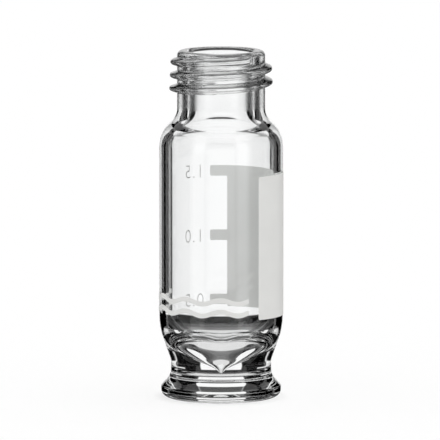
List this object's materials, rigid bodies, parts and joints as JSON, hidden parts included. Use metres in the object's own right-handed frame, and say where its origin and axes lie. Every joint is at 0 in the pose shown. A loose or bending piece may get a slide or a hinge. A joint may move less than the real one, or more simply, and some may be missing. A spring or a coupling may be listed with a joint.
{
  "type": "glass sample vial",
  "caption": "Small clear glass screw-neck sample vial with a conical inner bottom, a solid waisted foot and a white enamel writing patch with a volume scale.",
  "frame": {"origin": "centre of the foot's underside, on the vial's axis", "axes": "+Z along the vial's axis, out of the mouth; -Y is the front, and +X is the side with the writing patch"},
  "size_m": [0.0116, 0.0116, 0.0326],
  "materials": {
    "clear_glass": "fire-polished clear borosilicate glass",
    "white_enamel": "fired white ceramic enamel, satin"
  },
  "bodies": {
    "root": {"glass_vial": "clear_glass", "writing_patch": "white_enamel", "wave_lines": "white_enamel"}
  },
  "joints": []
}
